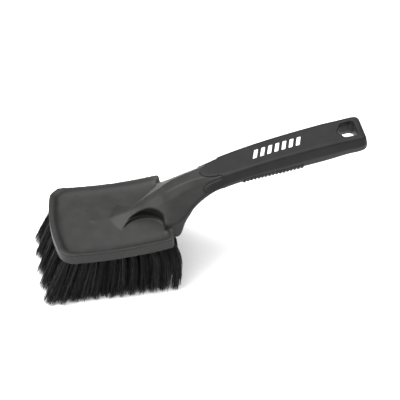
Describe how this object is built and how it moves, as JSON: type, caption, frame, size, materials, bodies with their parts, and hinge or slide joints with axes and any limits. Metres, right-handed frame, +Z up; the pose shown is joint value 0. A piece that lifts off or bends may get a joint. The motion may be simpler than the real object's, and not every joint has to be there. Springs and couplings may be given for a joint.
{
  "type": "wheel brush",
  "caption": "Short-handled hand brush for cleaning wheels: dished block with flared bristle tufts, scooped neck, soft overmoulded grip and a hanging hole.",
  "frame": {"origin": "under the middle of the whole brush, level with the trimmed bristle tips that it stands on", "axes": "+X from the head along the length to the hanging hole, +Y across the head, +Z up from the bristle tips"},
  "size_m": [0.2886, 0.091, 0.1237],
  "materials": {
    "hard_plastic": "fine matte moulded polypropylene, near black",
    "soft_grip": "satin thermoplastic elastomer, near black",
    "filament": "black crimped polyester filaments with split tips",
    "anchor_wire": "cut flat wire, bare",
    "print_ink": "white pad print on the grip"
  },
  "bodies": {
    "root": {"brush_body": "hard_plastic", "grip_sleeve": "soft_grip", "tufts_row_1": "filament", "tufts_row_2": "filament", "tufts_row_3": "filament", "tufts_row_4": "filament", "tufts_row_5": "filament", "tufts_row_6": "filament", "tufts_row_7": "filament", "tufts_row_8": "filament", "tufts_row_9": "filament", "anchors_row_1": "anchor_wire", "anchors_row_2": "anchor_wire", "anchors_row_3": "anchor_wire", "anchors_row_4": "anchor_wire", "anchors_row_5": "anchor_wire", "anchors_row_6": "anchor_wire", "anchors_row_7": "anchor_wire", "anchors_row_8": "anchor_wire", "anchors_row_9": "anchor_wire"}
  },
  "joints": []
}
